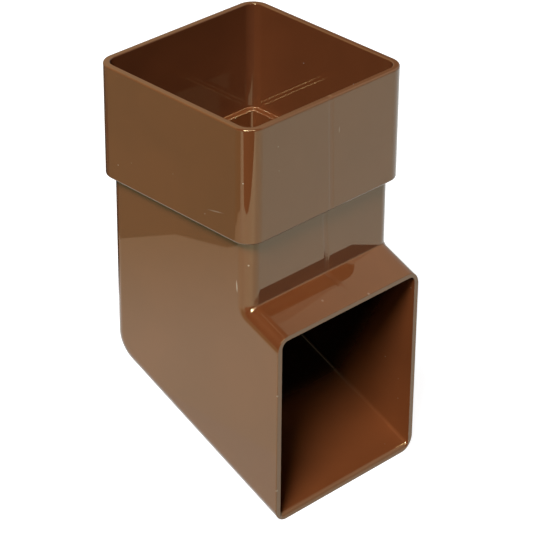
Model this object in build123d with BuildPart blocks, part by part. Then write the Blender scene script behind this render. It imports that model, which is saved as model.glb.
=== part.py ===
from build123d import *
from math import cos, radians, tan
import os

# Downpipe shoe for a square rainwater pipe, moulded in one piece.
# A square socket takes the end of the pipe. Below it a square body of the pipe's own size
# turns forward and throws the water out of a square mouth, clear of the wall behind.
# The origin is on the pipe's axis, on the ledge that stops the pipe.
# Z points up the pipe, and the mouth faces -Y. Sizes are in millimetres.

# Socket
pipe_size = 65.0  # outside of the square pipe
pipe_clearance = 0.4  # between the pipe and each socket wall
socket_wall = 2.3
socket_depth = 38.5  # rim to the ledge that stops the pipe
socket_corner = 6.4  # outside corner radius
shoulder_thickness = 1.5  # ledge to the underside of the socket

# Body and spout
body_wall = 2.0  # back, sides, floor and neck
body_corner = 5.0  # outside corner radius, all the way to the mouth
roof_drop = 25.7  # ledge to the line where the roof leaves the neck
roof_slope = 22.1  # degrees below level
roof_wall = 1.5  # thinner than the rest, as its edge at the mouth shows
spout_reach = 13.3  # neck to the plane of the mouth
mouth_height = 70.3  # outside, from the roof's edge to the lowest edge
floor_slope = 22.8  # degrees below level
heel_radius = 12.0  # outside bend from the back to the floor
throat_radius = 0.6  # outside bend from the neck to the roof
waterway_roof_corner = 2.4  # inside corner radius, down the front and under the roof
waterway_floor_corner = 1.2  # inside corner radius, down the back and along the floor
lip_round = 2.0  # inside, where the floor turns down over the lowest edge of the mouth
lip_slope = 80.0  # degrees below level, where the lip meets the mouth

# Edge rounds
rim_round = 0.6  # outside
rim_inner_round = 0.4
seat_round = 0.3  # foot of the pipe's seat
ledge_round = 0.35
shoulder_round = 0.7
mouth_round = 0.3  # outside

# The hollow is cut by a core that runs on past the ledge and the mouth
core_overrun = 5.0

# Sizes that follow from the ones above
socket_bore = pipe_size + 2 * pipe_clearance
socket_outside = socket_bore + 2 * socket_wall
body_size = pipe_size
body_front = -body_size / 2
mouth_plane = body_front - spout_reach
roof_rise = tan(radians(roof_slope))
floor_rise = tan(radians(floor_slope))
mouth_top = -roof_drop - spout_reach * roof_rise
mouth_bottom = mouth_top - mouth_height
lip_length = lip_round * tan(radians(lip_slope - floor_slope) / 2)
lip_start = mouth_plane + lip_length * cos(radians(lip_slope))


def duct(side_wall, top_wall, roof_corner, floor_corner, overrun):
    """The bent square duct, drawn in by its walls and run on past both of its ends."""
    half = body_size / 2 - side_wall
    mouth = mouth_plane - overrun
    roof_drawn_in = top_wall / cos(radians(roof_slope))
    floor_drawn_in = side_wall / cos(radians(floor_slope))

    def roof_z(y):
        return -roof_drop + (y - body_front) * roof_rise - roof_drawn_in

    def floor_z(y):
        return mouth_bottom + (y - mouth_plane) * floor_rise + floor_drawn_in

    throat = (-half, roof_z(-half))
    heel = (half, floor_z(half))
    lip = (lip_start, floor_z(lip_start))
    if overrun:
        lowest_end = [(mouth, lip[1] + (mouth - lip_start) * tan(radians(lip_slope))), lip]
    else:
        lowest_end = [(mouth, floor_z(mouth))]
    with BuildPart() as form:
        with BuildSketch(Plane.YZ) as side:
            with BuildLine():
                Polyline(
                    (half, overrun),
                    (-half, overrun),
                    throat,
                    (mouth, roof_z(mouth)),
                    *lowest_end,
                    heel,
                    close=True,
                )
            make_face()
            fillet(side.vertices().sort_by_distance((*throat, 0))[0], throat_radius + side_wall)
            fillet(side.vertices().sort_by_distance((*heel, 0))[0], heel_radius - side_wall)
            if overrun:
                fillet(side.vertices().sort_by_distance((*lip, 0))[0], lip_round)
        extrude(amount=half, both=True)
        # Each bend's own edges, one on each side, lead the corner round on along their whole run
        bends = form.faces().filter_by(Axis.X).edges().filter_by(GeomType.CIRCLE)
        fillet(bends.sort_by_distance((0, *throat))[:2], roof_corner)
        bends = form.faces().filter_by(Axis.X).edges().filter_by(GeomType.CIRCLE)
        fillet(bends.sort_by_distance((0, *heel))[:2], floor_corner)
    return form.part


outside = duct(0, 0, body_corner, body_corner, 0)
hollow = duct(body_wall, roof_wall, waterway_roof_corner, waterway_floor_corner, core_overrun)

with BuildPart() as shoe:
    # Socket block, from its underside to the rim
    with BuildSketch(Plane.XY.offset(-shoulder_thickness)):
        RectangleRounded(socket_outside, socket_outside, socket_corner)
    extrude(amount=shoulder_thickness + socket_depth)

    # Neck, bend and spout
    add(outside)

    # The pipe's seat, open at the rim and stopped by the ledge
    with BuildSketch(Plane.XY):
        RectangleRounded(socket_bore, socket_bore, socket_corner - socket_wall)
    extrude(amount=socket_depth, mode=Mode.SUBTRACT)

    # The waterway, from the ledge round to the mouth
    add(hollow, mode=Mode.SUBTRACT)

    # Moulded edges
    rim = shoe.faces().filter_by(Axis.Z).sort_by(Axis.Z)[-1]
    fillet(rim.outer_wire().edges(), rim_round)
    rim = shoe.faces().filter_by(Axis.Z).sort_by(Axis.Z)[-1]
    fillet(rim.inner_wires()[0].edges(), rim_inner_round)
    ledge = shoe.faces().filter_by(Axis.Z).sort_by(Axis.Z)[1]
    fillet(ledge.outer_wire().edges(), seat_round)
    ledge = shoe.faces().filter_by(Axis.Z).sort_by(Axis.Z)[1]
    fillet(ledge.inner_wires()[0].edges(), ledge_round)
    fillet(shoe.faces().filter_by(Axis.Z).sort_by(Axis.Z)[0].edges(), shoulder_round)
    mouth_face = shoe.faces().filter_by(Axis.Y).sort_by(Axis.Y)[0]
    fillet(mouth_face.outer_wire().edges(), mouth_round)

shoe.part.label = "downpipe_shoe"

os.makedirs("parts", exist_ok=True)
export_step(shoe.part, "parts/downpipe_shoe.step")
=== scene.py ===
# %% [markdown]
# # Downpipe shoe in glossy brown plastic
# A downpipe shoe is the last fitting of a rainwater downpipe: the pipe drops into a square socket, and the
# water leaves through a mouth that is turned away from the wall. The real one comes out of the mould in one
# piece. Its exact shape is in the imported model, so this lesson is about the skin: how a moulded part is
# shaded, what a polished plastic shows, and how soft light brings that out.

import bpy
from mathutils import Matrix, Vector


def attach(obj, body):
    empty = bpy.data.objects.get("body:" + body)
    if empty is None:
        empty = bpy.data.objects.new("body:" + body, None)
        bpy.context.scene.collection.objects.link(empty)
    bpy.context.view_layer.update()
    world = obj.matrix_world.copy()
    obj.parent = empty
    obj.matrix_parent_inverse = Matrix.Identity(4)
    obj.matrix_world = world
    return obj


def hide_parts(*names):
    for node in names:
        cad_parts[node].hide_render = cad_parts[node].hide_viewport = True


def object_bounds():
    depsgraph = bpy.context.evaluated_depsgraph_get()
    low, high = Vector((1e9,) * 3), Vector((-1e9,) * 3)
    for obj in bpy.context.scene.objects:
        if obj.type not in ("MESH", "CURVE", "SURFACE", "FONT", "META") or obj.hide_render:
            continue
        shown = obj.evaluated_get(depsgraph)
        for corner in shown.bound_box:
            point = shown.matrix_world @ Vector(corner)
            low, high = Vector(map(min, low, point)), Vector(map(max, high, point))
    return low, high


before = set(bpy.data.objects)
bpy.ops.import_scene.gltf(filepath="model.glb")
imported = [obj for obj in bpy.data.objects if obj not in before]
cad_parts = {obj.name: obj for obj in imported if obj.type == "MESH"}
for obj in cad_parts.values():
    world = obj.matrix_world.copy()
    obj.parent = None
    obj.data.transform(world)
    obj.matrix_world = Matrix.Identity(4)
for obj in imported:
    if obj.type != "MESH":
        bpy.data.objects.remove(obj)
cad_low, cad_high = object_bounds()
shoe_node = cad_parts["downpipe_shoe"]
print("shoe", len(shoe_node.data.polygons), "triangles, from", cad_low[:], "to", cad_high[:])

# %% [markdown]
# ## The moulded shell
# A mould gives a part flat walls with small rounds between them, and a polished wall shows at once where a
# shade is wrong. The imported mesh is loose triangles, each with its own corners. They could be shaded flat,
# which would facet every round, or smoothed all over, which would make the flat walls look blown up. Here a
# copy is merged, smoothed up to an angle, and given normals weighted by face area, so that the large flat
# faces stay flat and only the rounds turn.

# %% Merge a copy of the shell
bpy.ops.object.select_all(action="DESELECT")
shell = bpy.data.objects.new("shoe_shell", shoe_node.data.copy())
bpy.context.scene.collection.objects.link(shell)
bpy.context.view_layer.objects.active = shell
shell.select_set(True)
bpy.ops.mesh.customdata_custom_splitnormals_clear()
bpy.ops.object.mode_set(mode="EDIT")
bpy.ops.mesh.select_all(action="SELECT")
bpy.ops.mesh.remove_doubles(threshold=2e-6)
bpy.ops.object.mode_set(mode="OBJECT")
print("merged shell", len(shell.data.vertices), "corners,", len(shell.data.polygons), "faces")

# %% Smooth the rounds and keep the walls flat
bpy.ops.object.shade_smooth_by_angle(angle=0.70)
even = shell.modifiers.new("even_normals", "WEIGHTED_NORMAL")
even.mode = "FACE_AREA_WITH_ANGLE"
even.weight = 50
even.keep_sharp = True
bpy.ops.object.modifier_apply(modifier=even.name)
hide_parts("downpipe_shoe")
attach(shell, "root")

# %% [markdown]
# ## Inside faces
# The inside of the shoe is to have a shade of its own later on. It could be a second material, but the
# plastic is the same. So its faces are marked with numbers that the one material can read. The waterway lies
# within the walls, below the ledge, and looks towards the middle of the bend. The seat's walls lie above the
# ledge and look towards the pipe's axis; its back wall has the highest number.

# %% Mark the waterway and the seat
bend_middle = Vector((0, -0.008, -0.058))
waterway_half = 0.0315  # from the axis to within the waterway's walls
seat_half = 0.0334  # from the axis to within the seat's walls
off_ledge = 0.0004  # clear of the ledge, above or below
roof_level = -0.025  # below it the waterway runs on to the mouth
side_wall_mark, back_wall_mark = 0.6, 1.0
in_waterway = []
in_seat = []
for face in shell.data.polygons:
    x, y, z = face.center
    between_sides = abs(x) < waterway_half and y < waterway_half
    within = between_sides and z < -off_ledge and (y > -waterway_half or z < roof_level)
    in_waterway.append(float(within and face.normal.dot(bend_middle - face.center) > 0))
    in_bore = max(abs(x), abs(y)) < seat_half and z > off_ledge
    looks_in = in_bore and face.normal.dot(Vector((-x, -y, 0)).normalized()) > 0.3
    wall_mark = back_wall_mark if face.normal.y < -0.7 else side_wall_mark
    in_seat.append(wall_mark if looks_in else 0.0)
shell.data.attributes.new("waterway", "FLOAT", "FACE").data.foreach_set("value", in_waterway)
shell.data.attributes.new("seat", "FLOAT", "FACE").data.foreach_set("value", in_seat)
print("waterway faces", int(sum(in_waterway)), "seat faces", sum(1 for mark in in_seat if mark))

# %% [markdown]
# ## Brown plastic
# The plastic is coloured through, so the colour hardly changes and the surface does the talking: a polished
# mould leaves a skin that mirrors its surroundings. A clean mirror would look like lacquer, so the pigment is
# given a faint flow, and the gloss a faint unevenness, both far larger than a grain.

# %% Start the plastic's material
plastic = bpy.data.materials.new("brown_plastic")
plastic.use_nodes = True
tree = plastic.node_tree
skin = tree.nodes["Principled BSDF"]
skin.inputs["IOR"].default_value = 1.54
skin.inputs["Specular Tint"].default_value = (1.0, 0.81, 0.45, 1)
shell.data.materials.clear()
shell.data.materials.append(plastic)


def node(tree, kind, feeds, **settings):
    """Add a node, set it up by name, and give its inputs a value or a link from another node."""
    made = tree.nodes.new(kind)
    for name, value in settings.items():
        setattr(made, name, value)
    for name, value in feeds.items():
        if isinstance(value, bpy.types.NodeSocket):
            tree.links.new(value, made.inputs[name])
        else:
            made.inputs[name].default_value = value
    return made


place = tree.nodes.new("ShaderNodeTexCoord").outputs["Object"]
print("plastic", plastic.name)

# %% Colour with a faint flow
flow = node(tree, "ShaderNodeTexNoise", {"Vector": place, "Scale": 26.0, "Detail": 4.0, "Distortion": 0.8})
pigment = node(tree, "ShaderNodeValToRGB", {"Fac": flow.outputs["Fac"]})
pigment.color_ramp.elements[0].position = 0.3
pigment.color_ramp.elements[0].color = (0.141, 0.0415, 0.0128, 1)
pigment.color_ramp.elements[1].position = 0.7
pigment.color_ramp.elements[1].color = (0.163, 0.0480, 0.0146, 1)

# %% Gloss that is not quite even
sheen = node(tree, "ShaderNodeTexNoise", {"Vector": place, "Scale": 70.0, "Detail": 3.0})


def ramp(tree, value, start, end, low, high):
    """A soft step from a low level to a high one, as a value goes from start to end."""
    feeds = {"Value": value, "From Min": start, "From Max": end, "To Min": low, "To Max": high}
    return node(tree, "ShaderNodeMapRange", feeds, interpolation_type="SMOOTHSTEP").outputs["Result"]


gloss = ramp(tree, sheen.outputs["Fac"], 0.2, 0.8, 0.015, 0.035)

# %% [markdown]
# ## The mould line
# Down the middle of the front runs a faint line, where the two flows of hot plastic met in the mould. It is a
# shallow channel about two millimetres wide that leans a little as it goes down. It could be cut in the mesh,
# but it is only a few hundredths deep, so a bump is truer: it bends the reflection and nothing else.

# %% Draw the mould line
axes = node(tree, "ShaderNodeSeparateXYZ", {"Vector": place}).outputs


def math(tree, operation, first, second):
    """The sum, product or other result of two values."""
    return node(tree, "ShaderNodeMath", {0: first, 1: second}, operation=operation).outputs["Value"]


lean_socket = ramp(tree, axes["Z"], 0.0385, -0.0015, 0.0003, 0.0013)
lean_neck = ramp(tree, axes["Z"], -0.004, -0.024, 0.0, 0.0014)
off_line = math(tree, "SUBTRACT", axes["X"], math(tree, "ADD", lean_socket, lean_neck))
on_line = ramp(tree, math(tree, "ABSOLUTE", off_line, 0.0), 0.0005, 0.0013, 1.0, 0.0)
on_front = ramp(tree, axes["Y"], -0.0312, -0.0322, 0.0, 1.0)
above_roof = ramp(tree, axes["Z"], -0.030, -0.026, 0.0, 1.0)
mould_line = math(tree, "MULTIPLY", on_line, math(tree, "MULTIPLY", on_front, above_roof))

# %% [markdown]
# ## Dust, handling and a painted glint
# A part off the shelf has a few specks of dust and small bright scuffs. The specks are cells of a pattern of
# scattered points, and only the points that happen to lie in the skin show, so they come out sparse and
# uneven of themselves. The scuffs are soft spots, each with its own place and reach in metres, its turn about
# X in radians, and its strength. One spot, the thin upright streak on the neck's near corner, is no scuff but
# a painted highlight, drawn in the same light colour as the dust.

# %% Scatter the dust
dust = node(tree, "ShaderNodeTexVoronoi", {"Vector": place, "Scale": 150.0})
speck = ramp(tree, dust.outputs["Distance"], 0.022, 0.045, 1.0, 0.0)
tone = node(tree, "ShaderNodeSeparateColor", {"Color": dust.outputs["Color"]}).outputs["Red"]
speck = math(tree, "MULTIPLY", speck, ramp(tree, tone, 0.35, 0.9, 0.0, 0.8))

# %% Place the scuffs
mark_and_glint_places = [
    ((0.0042, -0.0352, 0.0262), (0.00035, 0.002, 0.0014), 0.0, 0.3),
    # painted highlight: the glint on the neck's near corner, drawn as a spot like the scuffs
    ((-0.0325, -0.0273, -0.0190), (0.002, 0.00034, 0.0027), -0.06, 1.0),
    ((-0.0310, -0.0310, -0.0105), (0.0004, 0.0004, 0.0004), 0.0, 0.8),
    ((-0.0352, -0.0205, 0.0062), (0.002, 0.0045, 0.00030), -0.2, 0.3),
    ((-0.0073, -0.0405, -0.0289), (0.0006, 0.0006, 0.0006), 0.0, 0.2),
    ((0.0089, -0.0454, -0.0309), (0.0006, 0.0006, 0.0006), 0.0, 0.25),
    ((-0.0324, -0.0458, -0.0516), (0.0006, 0.0006, 0.0005), 0.0, 0.3),
    ((-0.0322, -0.0458, -0.0880), (0.0006, 0.0006, 0.0006), 0.0, 0.3),
]
# the mask of dust, scuffs and the painted highlight on the neck's corner
marks_and_glint = speck
for spot, reach, turn, strength in mark_and_glint_places:
    feeds = {"Vector": place, "Location": spot, "Rotation": (turn, 0, 0), "Scale": reach}
    moved = node(tree, "ShaderNodeMapping", feeds, vector_type="TEXTURE").outputs["Vector"]
    away = node(tree, "ShaderNodeVectorMath", {0: moved}, operation="LENGTH").outputs["Value"]
    marks_and_glint = math(tree, "MAXIMUM", marks_and_glint, ramp(tree, away, 0.3, 1.0, strength, 0.0))

# %% [markdown]
# ## The dark of the bend
# Little light finds its way round the bend, so in the picture the waterway falls off to black a short way
# behind the mouth. Real light bounces about in a studio and would lift it, so the pigment is drawn down with
# the depth, along a slope that follows the shade of the roof's edge. The seat's walls are drawn down a little
# for the same reason, and its back wall, which is less polished, mirrors less. Multiplying keeps the hue,
# where a mix with black would grey it. The dust goes on first, so that no speck shines in the dark.

# %% Darken the inside
depth = node(tree, "ShaderNodeVectorMath", {0: place, 1: (0, -1.9, -1)}, operation="DOT_PRODUCT")
daylight = ramp(tree, depth.outputs["Value"], 0.098, 0.122, 0.03, 1.0)
in_bend = node(tree, "ShaderNodeAttribute", {}, attribute_name="waterway").outputs["Fac"]
in_bend = math(tree, "MULTIPLY", in_bend, ramp(tree, axes["Z"], -0.018, -0.034, 0.0, 1.0))
on_seat = node(tree, "ShaderNodeAttribute", {}, attribute_name="seat").outputs["Fac"]


def colour_mix(tree, blend, amount, first, second):
    """One colour laid over another by an amount."""
    mixed = node(tree, "ShaderNodeMix", {}, data_type="RGBA", blend_type=blend)
    for number, value in ((0, amount), (6, first), (7, second)):
        if isinstance(value, bpy.types.NodeSocket):
            tree.links.new(value, mixed.inputs[number])
        else:
            mixed.inputs[number].default_value = value
    return mixed.outputs[2]


# the light colour of the dust and scuffs, which also paints the glint on the neck's near corner as a painted
# highlight
dust_and_glint_colour = (0.48, 0.38, 0.29, 1)
seat_shade = (0.76, 0.78, 0.92, 1)
colour = colour_mix(tree, "MIX", marks_and_glint, pigment.outputs["Color"], dust_and_glint_colour)
colour = colour_mix(tree, "MULTIPLY", in_bend, colour, daylight)
colour = colour_mix(tree, "MULTIPLY", on_seat, colour, seat_shade)

# %% Put the skin together
polished, worn = 0.735, 0.35
mirror = ramp(tree, on_seat, side_wall_mark, back_wall_mark, polished, worn)
tree.links.new(mirror, skin.inputs["Specular IOR Level"])
tree.links.new(colour, skin.inputs["Base Color"])
dull = math(tree, "MULTIPLY", math(tree, "MAXIMUM", marks_and_glint, mould_line), 0.16)
tree.links.new(math(tree, "ADD", gloss, dull), skin.inputs["Roughness"])
channel = node(tree, "ShaderNodeBump", {"Height": mould_line, "Distance": 0.00005}, invert=True)
tree.links.new(channel.outputs["Normal"], skin.inputs["Normal"])
print("plastic nodes", len(tree.nodes))

# %% [markdown]
# ## Floor and light tent
# The shoe stands on the lip of its mouth on a plain white floor. A polished part shows what it mirrors, so a
# tent stands round it, with a bright panel to the right and dim sides. Only reflections see the tent, so the
# panel shapes the gloss and leaves the form to the lamp. The light on the tent is drawn in its own
# coordinates, which run out to its radius of 1.6 before it is made three times as large.

# %% Lay the floor
bpy.ops.object.select_all(action="DESELECT")
bpy.ops.mesh.primitive_plane_add(size=12.0, location=(0, 0, 0))
floor = bpy.context.object
floor.name = "floor"
floor.data.transform(Matrix.Translation((0, 0, cad_low.z)))


def seen_white(tree):
    """One for what the camera, a reflection or clear plastic sees, and nothing for bounced light."""
    ray = tree.nodes.new("ShaderNodeLightPath").outputs
    eye = math(tree, "MAXIMUM", ray["Is Camera Ray"], ray["Is Glossy Ray"])
    return math(tree, "MAXIMUM", eye, ray["Is Transmission Ray"])


paper = bpy.data.materials.new("white_paper")
paper.use_nodes = True
fibre = paper.node_tree
paper_skin = fibre.nodes["Principled BSDF"]
paper_skin.inputs["Roughness"].default_value = 1.0
paper_skin.inputs["Specular IOR Level"].default_value = 0.0
paper_skin.inputs["Emission Color"].default_value = (1, 1, 1, 1)
white = seen_white(fibre)
across = fibre.nodes.new("ShaderNodeTexCoord").outputs["Object"]
paper_axes = node(fibre, "ShaderNodeSeparateXYZ", {"Vector": across}).outputs
# Painted light: for the camera and for reflections the paper glows, less far out to the left than near the
# shoe, and a painted pool of light lies on it by the shoe's front left corner.
lift = ramp(fibre, paper_axes["X"], -0.20, -0.05, 0.62, 0.93)
corner_light_pool = ramp(fibre, paper_axes["X"], -0.04, -0.10, 0.0, 0.5)
corner_light_pool = math(fibre, "MULTIPLY", corner_light_pool, ramp(fibre, paper_axes["Y"], 0.01, -0.09, 0.0, 1.0))
lift = math(fibre, "MULTIPLY", white, math(fibre, "ADD", lift, corner_light_pool))
fibre.links.new(ramp(fibre, white, 0, 1, 0.24, 0.40), paper_skin.inputs["Base Color"])
fibre.links.new(lift, paper_skin.inputs["Emission Strength"])
floor.data.materials.append(paper)

# %% Raise the tent
bpy.ops.object.select_all(action="DESELECT")
bpy.ops.mesh.primitive_uv_sphere_add(segments=64, ring_count=32, radius=1.6)
tent = bpy.context.object
tent.name = "light_tent"
tent.scale = (3, 3, 3)
tent.visible_camera = False
tent.visible_diffuse = False
tent.visible_shadow = False
cloth = bpy.data.materials.new("tent_cloth")
cloth.use_nodes = True
weave = cloth.node_tree
weave.nodes.remove(weave.nodes["Principled BSDF"])
tent_place = weave.nodes.new("ShaderNodeTexCoord").outputs["Object"]
tent_axes = node(weave, "ShaderNodeSeparateXYZ", {"Vector": tent_place}).outputs
flat = node(weave, "ShaderNodeVectorMath", {0: tent_place, 1: (1, 1, 0)}, operation="MULTIPLY")
off_top = node(weave, "ShaderNodeVectorMath", {0: flat.outputs["Vector"]}, operation="LENGTH")

# %% Light the tent from side to side
aside = ramp(weave, tent_axes["X"], -0.6, 0.9, 0.12, 0.42)
panel = ramp(weave, tent_axes["X"], 0.88, 1.06, 0.0, 0.5)
behind = ramp(weave, tent_axes["Y"], 0.55, 0.95, 0.0, 0.15)
level_round = math(weave, "ADD", math(weave, "ADD", aside, panel), behind)
rise = ramp(weave, tent_axes["Z"], 0.65, 1.15, 0.20, 1.0)
hole = ramp(weave, off_top.outputs["Value"], 0.55, 0.95, 0.15, 1.0)
roof_light = math(weave, "MULTIPLY", level_round, math(weave, "MULTIPLY", rise, hole))
right_wall = ramp(weave, tent_axes["X"], 1.10, 1.40, 0.0, 0.6)
to_front = ramp(weave, tent_axes["Y"], -0.45, -0.95, 0.0, 0.7)
front_right = math(weave, "MULTIPLY", to_front, ramp(weave, tent_axes["X"], 0.3, 0.9, 0.0, 1.0))
off_strip = math(weave, "ABSOLUTE", math(weave, "ADD", tent_axes["X"], 0.02), 0.0)
overhead = ramp(weave, tent_axes["Z"], 0.7, 1.0, 0.0, 1.0)
strip = math(weave, "MULTIPLY", ramp(weave, off_strip, 0.02, 0.10, 0.8, 0.0), overhead)
to_back = ramp(weave, tent_axes["Y"], 0.55, 0.95, 0.0, 1.0)
back_left = math(weave, "MULTIPLY", to_back, ramp(weave, tent_axes["X"], 1.07, 0.93, 0.0, 0.55))
walls = math(weave, "ADD", right_wall, math(weave, "ADD", front_right, back_left))
tent_light = math(weave, "ADD", roof_light, math(weave, "ADD", walls, strip))
warm_back = colour_mix(weave, "MIX", to_back, (1, 1, 1, 1), (1.0, 0.90, 0.62, 1))
glow = node(weave, "ShaderNodeEmission", {"Color": warm_back, "Strength": tent_light})
weave.links.new(glow.outputs["Emission"], weave.nodes["Material Output"].inputs["Surface"])
tent.data.materials.append(cloth)
print("tent nodes", len(weave.nodes))

# %% [markdown]
# A floor that is white to every side would turn the whole left wall pale. In a small studio the paper ends
# somewhere, and its edge shows in the plastic as a soft line across the wall. Flat cards, seen by reflections
# alone, stand for the darker table beyond the paper.


# %% Lay the table cards
def table_card(name, corners, colour):
    """A flat card on the floor that only reflections see, through these corners in millimetres."""
    bpy.ops.object.select_all(action="DESELECT")
    bpy.ops.mesh.primitive_circle_add(vertices=len(corners), fill_type="NGON")
    card = bpy.context.object
    card.name = name
    for corner, (x, y) in zip(card.data.vertices, corners):
        corner.co = (x / 1000, y / 1000, cad_low.z + 0.0003)
    card.visible_camera = False
    card.visible_diffuse = False
    card.visible_shadow = False
    board = bpy.data.materials.new(name)
    board.use_nodes = True
    grain = board.node_tree
    grain.nodes.remove(grain.nodes["Principled BSDF"])
    shine = node(grain, "ShaderNodeEmission", {"Color": (*colour, 1)})
    grain.links.new(shine.outputs["Emission"], grain.nodes["Material Output"].inputs["Surface"])
    card.data.materials.append(board)
    return card


table_card(
    "table_left",
    [(-60, 170), (-121, 130), (-138.6, 117.6), (-146, 96), (-190, 78), (-226, 30), (-237, -20),
     (-1500, -60), (-1500, 1500), (300, 1500)],
    (0.48, 0.50, 0.34),
)
table_card(
    "table_behind",
    [(-100, 165), (-230, 300), (-1500, 330), (-1500, 1500), (60, 1500), (60, 105), (40, 95)],
    (0.08, 0.07, 0.05),
)
table_card(
    "table_front",
    [(-232, -95), (-128, -250), (-40, -382), (-200, -1500), (-1500, -1500), (-1500, -80)],
    (0.48, 0.24, 0.15),
)
table_card("table_far", [(250, -300), (250, -3000), (3000, -3000), (3000, -300)], (0.45, 0.50, 0.55))

# %% [markdown]
# The paper does not end as hard as a card: towards its edge it is dimmer and takes on some of the table's
# colour. One more card lies along the edge, from a warm tone at the table to the paper's white near the shoe.

# %% Soften the paper's edge
edge_card = table_card(
    "paper_edge",
    [(-60, 168), (-60, -20), (-237, -22), (-226, 30), (-190, 78), (-146, 96), (-138.6, 117.6), (-121, 130)],
    (1, 1, 1),
)
edge_tree = edge_card.active_material.node_tree
edge_place = edge_tree.nodes.new("ShaderNodeTexCoord").outputs["Object"]
inward = node(edge_tree, "ShaderNodeVectorMath", {0: edge_place, 1: (0.6, -0.8, 0)}, operation="DOT_PRODUCT")
nearness = ramp(edge_tree, inward.outputs["Value"], -0.20, -0.085, 0.0, 1.0)
edge_tint = colour_mix(edge_tree, "MIX", nearness, (0.97, 0.90, 0.68, 1), (1.42, 1.37, 1.28, 1))
edge_tree.links.new(edge_tint, edge_tree.nodes["Emission"].inputs["Color"])

# %% [markdown]
# ## Lamps
# One far, soft, round lamp from the upper left gives the form. Its direction and its breadth were read from
# the shade that the mouth's edges throw on the waterway's floor and right wall. A weak lamp from behind on
# the right, which reflections do not show, keeps the far sides from going black. A long narrow bank over the
# camera does the opposite: only the gloss shows it, as a thin bright arc round the near corners.


# %% Light the shoe
def soft_lamp(name, place, power, size):
    """A round soft lamp at a place in metres, turned to the middle of the shoe."""
    lamp = bpy.data.lights.new(name, "AREA")
    lamp.shape = "DISK"
    lamp.energy = power
    lamp.size = size
    holder = bpy.data.objects.new(name, lamp)
    bpy.context.scene.collection.objects.link(holder)
    holder.location = place
    holder.rotation_mode = "QUATERNION"
    holder.rotation_quaternion = (Vector(place) - Vector((0, 0, -0.03))).to_track_quat("Z", "Y")
    print(name, power, "W")
    return holder


soft_lamp("key_lamp", (-2.423, -1.115, 3.189), 209.0, 1.46)
far_fill = soft_lamp("far_fill_lamp", (1.0, 0.9, 0.25), 6.0, 0.5)
far_fill.visible_glossy = False
bank = soft_lamp("corner_bank", (-0.86, -0.86, 1.58), 47.0, 2.0)
bank.data.shape = "RECTANGLE"
bank.data.size_y = 0.25
bank.visible_diffuse = False

# %% White behind the shoe
world = bpy.data.worlds.new("white_surround")
bpy.context.scene.world = world
world.use_nodes = True
air = world.node_tree
air.nodes["Background"].inputs["Color"].default_value = (1, 1, 1, 1)
air.links.new(ramp(air, seen_white(air), 0, 1, 0.025, 1.0), air.nodes["Background"].inputs["Strength"])

# %% [markdown]
# ## Camera
# The picture was taken from above the left corner of the mouth with a long lens. The lens and the place were
# worked out from the straight edges of the shoe, and are set here as they came out, the place in metres.

# %% Set the camera
lens_view = bpy.data.cameras.new("picture_camera")
lens_view.sensor_width = 36.0
lens_view.lens = 170.70
camera = bpy.data.objects.new("picture_camera", lens_view)
bpy.context.scene.collection.objects.link(camera)
right = Vector((0.71271201, -0.7014041, 0.00859572))
up = Vector((0.34928025, 0.36548491, 0.86280014))
back = Vector((-0.60831316, -0.61192571, 0.50547208))
turned = Matrix((right, up, back)).transposed().to_4x4()
camera.matrix_world = Matrix.Translation((-0.52084, -0.53549, 0.39809)) @ turned
bpy.context.scene.camera = camera
bpy.context.scene.view_settings.view_transform = "Standard"

# %% [markdown]
# A small bright lamp just above the camera adds what a flash would: a spark where three faces meet and send
# the light straight back.

# %% A small lamp beside the camera
catch = bpy.data.lights.new("catch_lamp", "POINT")
catch.energy = 110.0
catch.color = (0.55, 0.75, 1.0)
catch.shadow_soft_size = 0.012
catch_holder = bpy.data.objects.new("catch_lamp", catch)
bpy.context.scene.collection.objects.link(catch_holder)
catch_holder.location = camera.matrix_world.translation + Vector((0, 0, 0.035))
catch_holder.visible_diffuse = False
